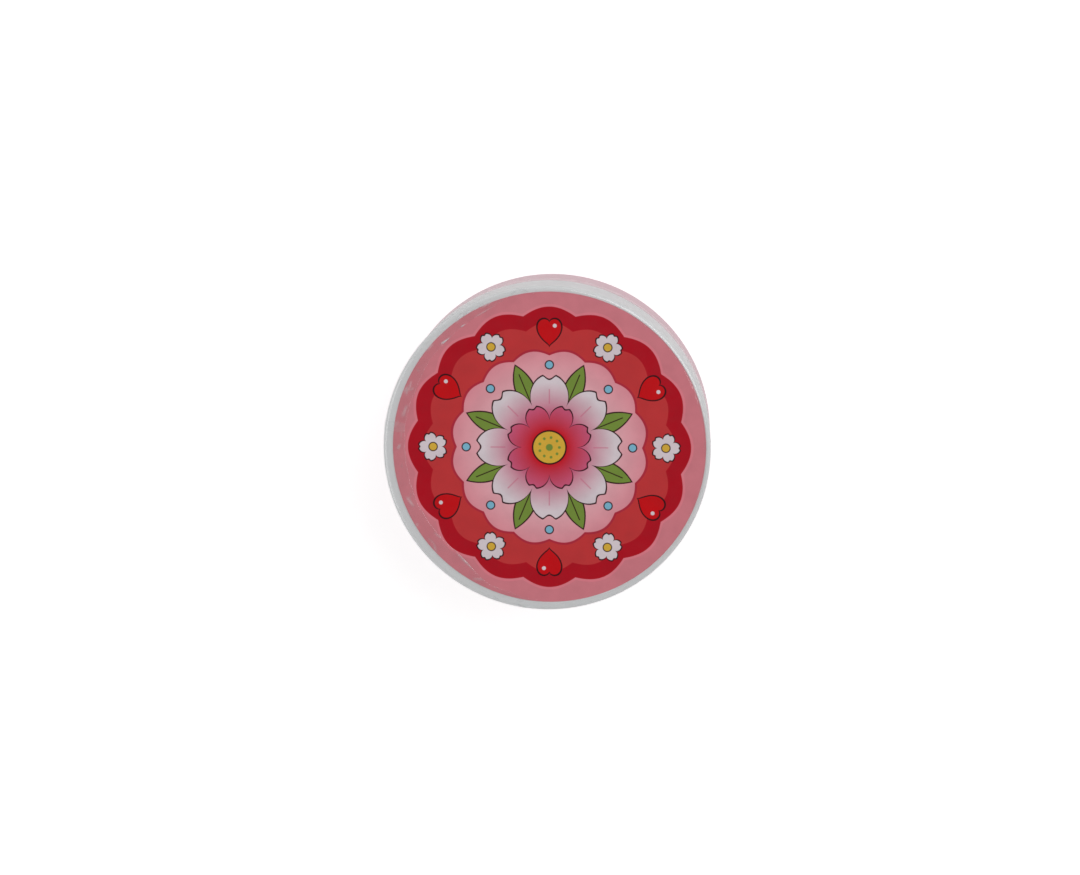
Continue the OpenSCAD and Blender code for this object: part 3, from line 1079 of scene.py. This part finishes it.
class SPONGEJAR_OT_stage(bpy.types.Operator):
    """Add the floor, the even sky, the lamps and the camera"""

    bl_idname = "sponge_jar.stage"
    bl_label = "Stage"

    def execute(self, context):
        stage = context.scene.jar_stage
        _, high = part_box("lid_shell")
        add_camera(stage, Vector((0, 0, high.z - RIM_DROP)), radius_of("lid_shell"))
        context.scene.world = sky_world(stage)
        add_lamp("key_lamp", *KEY_LAMP, stage.key)
        add_lamp("fill_lamp", *FILL_LAMP, stage.fill)
        half = FLOOR_HALF
        corners = [(-half, -half, 0), (half, -half, 0), (half, half, 0), (-half, half, 0)]
        floor = add_piece("stage_floor", corners, [(0, 1, 2, 3)], floor_material(stage), math.pi)
        floor.location.z = -FLOOR_DROP
        context.scene.view_settings.view_transform = "Standard"
        return {"FINISHED"}


class SPONGEJAR_OT_jar_shell(bpy.types.Operator):
    """Finish the jar's outer wall and its base sticker"""

    bl_idname = "sponge_jar.jar_shell"
    bl_label = "Jar shell"

    def execute(self, context):
        colours = context.scene.jar_plastics
        dress("outer_shell", moulded_material("pink_wall", colours.jar, 0.35, coat=0.6))
        dress("base_label", sticker_material(colours))
        return {"FINISHED"}


class SPONGEJAR_OT_cup(bpy.types.Operator):
    """Finish the inner cup, damp at its floor"""

    bl_idname = "sponge_jar.cup"
    bl_label = "Inner cup"

    def execute(self, context):
        tint = context.scene.jar_plastics.cup
        dress("inner_cup", moulded_material("cup_plastic", tint, 0.34, glow=0.1, wet=6.0))
        return {"FINISHED"}


class SPONGEJAR_OT_foam(bpy.types.Operator):
    """Make the foam block that stands for the sponge"""

    bl_idname = "sponge_jar.foam"
    bl_label = "Foam"

    def execute(self, context):
        sizes = context.scene.jar_foam
        piece = add_mesh("sponge_foam", foam_mesh(sizes), foam_material(sizes), math.pi)
        fit_in(piece, "jar", ["sponge"])
        return {"FINISHED"}


class SPONGEJAR_OT_remover(bpy.types.Operator):
    """Pour the remover that stands in the well"""

    bl_idname = "sponge_jar.remover"
    bl_label = "Remover"

    def execute(self, context):
        wide, foot, top = levels_of("remover_pool")
        profile = [(0, foot), *rounded(wide - 0.3, foot + 0.3, 0.3, -90, 0)]
        profile += [(wide, top - 0.05), (wide - 0.12, top)]
        profile += [(wide - inward, top - drop) for inward, drop in MENISCUS]
        profile += [(0, top - 0.63)]
        liquid = remover_material(context.scene.jar_plastics)
        piece = add_piece("remover_liquid", *turned(profile, 96), liquid, math.pi)
        fit_in(piece, "jar", ["remover_pool"])
        return {"FINISHED"}


class SPONGEJAR_OT_disc(bpy.types.Operator):
    """Finish the sealing disc and its pull tab"""

    bl_idname = "sponge_jar.disc"
    bl_label = "Sealing disc"

    def execute(self, context):
        natural = moulded_material("disc_plastic", context.scene.jar_plastics.disc, 0.32, glow=0.3)
        dress("sealing_disc", natural)
        dress("disc_tab", natural)
        return {"FINISHED"}


class SPONGEJAR_OT_lid(bpy.types.Operator):
    """Finish the lid's shell and insert, and press the liner on the rim"""

    bl_idname = "sponge_jar.lid"
    bl_label = "Lid"

    def execute(self, context):
        colours = context.scene.jar_plastics
        dress("lid_shell", moulded_material("lid_plastic", colours.lid, 0.3, speck=0.5))
        dress("lid_insert", moulded_material("insert_plastic", colours.cup, 0.34, glow=0.1))
        wide, foot, top = levels_of("lid_liner")
        inner, outer, press = LINER_PRESS
        profile = [(0, foot), (inner - 0.5, foot), (inner, foot + press)]
        profile += [(outer, foot + press), (outer + 0.4, foot)]
        profile += rounded(wide - 0.25, foot + 0.25, 0.25, -90, 0)
        profile += rounded(wide - 0.15, top - 0.15, 0.15, 0, 90)
        profile += [(0, top)]
        sheet = liner_material(colours)
        piece = add_piece("liner_sheet", *turned(profile), sheet, math.radians(30))
        fit_in(piece, "liner", ["lid_liner"])
        return {"FINISHED"}


class SPONGEJAR_OT_label(bpy.types.Operator):
    """Print the label on the lid"""

    bl_idname = "sponge_jar.label"
    bl_label = "Label"

    def execute(self, context):
        low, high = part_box("top_label")
        dress("top_label", label_material(context.scene.jar_label, (low + high) / 2))
        return {"FINISHED"}


class SPONGEJAR_OT_film(bpy.types.Operator):
    """Wrap the clear film around the lid and the jar"""

    bl_idname = "sponge_jar.film"
    bl_label = "Film"

    def execute(self, context):
        sizes = context.scene.jar_film
        clear = film_material()
        lid = film_piece("film_on_lid", lid_film_rows(sizes), sizes, clear)
        fit_in(lid, "lid", ["shrink_band_upper"])
        jar = film_piece("film_on_jar", jar_film_rows(sizes), sizes, clear)
        fit_in(jar, "jar", ["shrink_band_lower"])
        return {"FINISHED"}


OPERATORS = (
    SPONGEJAR_OT_stage,
    SPONGEJAR_OT_jar_shell,
    SPONGEJAR_OT_cup,
    SPONGEJAR_OT_foam,
    SPONGEJAR_OT_remover,
    SPONGEJAR_OT_disc,
    SPONGEJAR_OT_lid,
    SPONGEJAR_OT_label,
    SPONGEJAR_OT_film,
)


class VIEW3D_PT_sponge_jar(bpy.types.Panel):
    """Lists the jar's operators and settings"""

    bl_label = PANEL_NAME
    bl_space_type = "VIEW_3D"
    bl_region_type = "UI"
    bl_category = PANEL_NAME

    def draw(self, context):
        for operator in OPERATORS:
            self.layout.operator(operator.bl_idname)
        for name, group in SETTINGS.items():
            box = self.layout.box()
            for key in group.__annotations__:
                box.prop(getattr(context.scene, name), key)


CLASSES = (*SETTINGS.values(), *OPERATORS, VIEW3D_PT_sponge_jar)


def register():
    for cls in CLASSES:
        bpy.utils.register_class(cls)
    for name, group in SETTINGS.items():
        setattr(bpy.types.Scene, name, PointerProperty(type=group))


def unregister():
    for name in SETTINGS:
        delattr(bpy.types.Scene, name)
    for cls in reversed(CLASSES):
        bpy.utils.unregister_class(cls)


def main():
    """Builds everything in order."""
    register()
    for operator in OPERATORS:
        group, name = operator.bl_idname.split(".")
        getattr(getattr(bpy.ops, group), name)()


if __name__ == "__main__":
    main()
